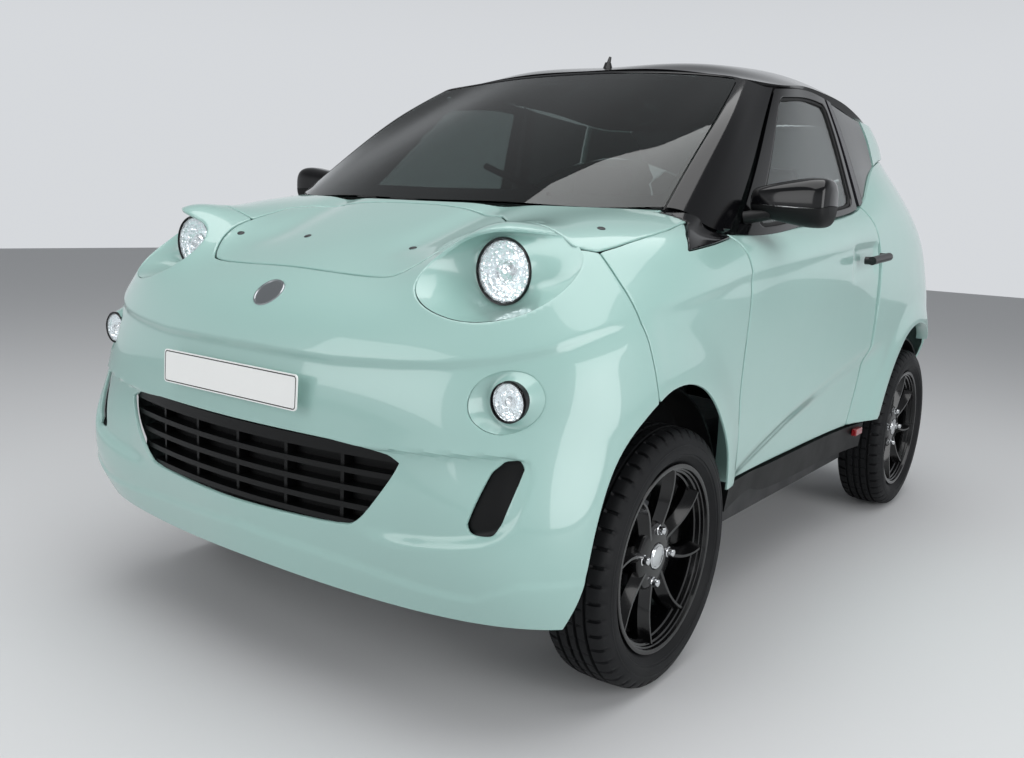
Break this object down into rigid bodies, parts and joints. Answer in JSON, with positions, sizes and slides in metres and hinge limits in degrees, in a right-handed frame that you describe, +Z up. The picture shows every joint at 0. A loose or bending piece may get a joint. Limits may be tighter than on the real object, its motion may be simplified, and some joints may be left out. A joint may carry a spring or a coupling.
{
  "type": "microcar",
  "caption": "Small rounded city car with side doors, a lifting hood and tailgate, spoked alloy wheels, steered front wheels and a hollow cab with seats.",
  "frame": {"origin": "on the ground, halfway along the car and across it", "axes": "+X forward, +Y to the car's left, +Z up"},
  "size_m": [2.762, 1.79, 1.4699],
  "materials": {
    "paint": "gloss pale mint green",
    "black_gloss": "gloss black",
    "black_plastic": "grained black",
    "window_glass": "tinted",
    "lens": "clear",
    "tail_lens": "red",
    "dark_steel": "black primer",
    "cast_metal": "as cast",
    "exhaust_steel": "dull",
    "seat_cloth": "woven",
    "blank_plate": "white, blank",
    "tyre": "rubber",
    "black_alloy": "gloss black on alloy"
  },
  "bodies": {
    "car": {"front_bumper": "paint", "grille": "black_plastic", "bumper_vents": "black_plastic", "front_lamps": "black_plastic", "lamp_lenses": "lens", "cowl": "paint", "fenders": "paint", "roof": "black_gloss", "windscreen_frame": "black_gloss", "windscreen": "window_glass", "antenna": "black_plastic", "rear_posts": "black_gloss", "quarter_glass": "window_glass", "rear_bumper": "paint", "tail_lamps": "tail_lens", "quarter_panels": "paint", "floor_pan": "dark_steel", "front_rails": "dark_steel", "rear_floor": "dark_steel", "wheel_liners": "black_plastic", "side_skirts": "black_plastic", "engine": "cast_metal", "front_suspension": "dark_steel", "rear_axle": "dark_steel", "exhaust": "exhaust_steel", "dashboard": "black_plastic", "seat_bases": "seat_cloth", "seat_backs": "seat_cloth", "front_plate": "blank_plate", "wiper": "black_plastic"},
    "hood": {"hood": "paint"},
    "tailgate": {"tailgate": "paint", "tailgate_glass": "window_glass"},
    "steering": {"steering_wheel": "black_plastic"},
    "left_door": {"left_door": "paint", "left_door_frame": "black_gloss", "left_door_glass": "window_glass", "left_mirror": "black_plastic", "left_handle": "paint"},
    "left_knuckle": {"left_knuckle": "dark_steel"},
    "front_left_wheel": {"front_left_tyre": "tyre", "front_left_rim": "black_alloy"},
    "rear_left_wheel": {"rear_left_tyre": "tyre", "rear_left_rim": "black_alloy"},
    "right_door": {"right_door": "paint", "right_door_frame": "black_gloss", "right_door_glass": "window_glass", "right_mirror": "black_plastic", "right_handle": "paint"},
    "right_knuckle": {"right_knuckle": "dark_steel"},
    "front_right_wheel": {"front_right_tyre": "tyre", "front_right_rim": "black_alloy"},
    "rear_right_wheel": {"rear_right_tyre": "tyre", "rear_right_rim": "black_alloy"}
  },
  "joints": [
    {"name": "left_steer", "type": "hinge", "parent": "car", "child": "left_knuckle", "pos_m": [0.79, 0.615, 0.18], "axis": [0, -0.207, 0.9783], "range_deg": [-30, 30]},
    {"name": "right_steer", "type": "hinge", "parent": "car", "child": "right_knuckle", "pos_m": [0.79, -0.615, 0.18], "axis": [0, 0.207, 0.9783], "range_deg": [-30, 30]},
    {"name": "front_left_spin", "type": "hinge", "parent": "left_knuckle", "child": "front_left_wheel", "pos_m": [0.79, 0.64, 0.2835], "axis": [0, 1, 0], "continuous": true},
    {"name": "rear_left_spin", "type": "hinge", "parent": "car", "child": "rear_left_wheel", "pos_m": [-1.03, 0.64, 0.2835], "axis": [0, 1, 0], "continuous": true},
    {"name": "front_right_spin", "type": "hinge", "parent": "right_knuckle", "child": "front_right_wheel", "pos_m": [0.79, -0.64, 0.2835], "axis": [0, 1, 0], "continuous": true},
    {"name": "rear_right_spin", "type": "hinge", "parent": "car", "child": "rear_right_wheel", "pos_m": [-1.03, -0.64, 0.2835], "axis": [0, 1, 0], "continuous": true},
    {"name": "steering_turn", "type": "hinge", "parent": "car", "child": "steering", "pos_m": [0.205, 0.32, 0.866], "axis": [-0.9397, 0, 0.342], "range_deg": [-450, 450]},
    {"name": "left_door_swing", "type": "hinge", "parent": "car", "child": "left_door", "pos_m": [0.5, 0.735, 0.7], "axis": [0, 0, -1], "range_deg": [0, 65]},
    {"name": "right_door_swing", "type": "hinge", "parent": "car", "child": "right_door", "pos_m": [0.5, -0.735, 0.7], "axis": [0, 0, 1], "range_deg": [0, 65]},
    {"name": "hood_lift", "type": "hinge", "parent": "car", "child": "hood", "pos_m": [0.853, 0, 1.009], "axis": [0, -1, 0], "range_deg": [0, 50]},
    {"name": "tailgate_lift", "type": "hinge", "parent": "car", "child": "tailgate", "pos_m": [-1.17, 0, 1.368], "axis": [0, 1, 0], "range_deg": [0, 80]}
  ],
  "couplings": [
    {"joint": "right_steer", "follows": "left_steer", "ratio": 1},
    {"joint": "steering_turn", "follows": "left_steer", "ratio": 15}
  ]
}
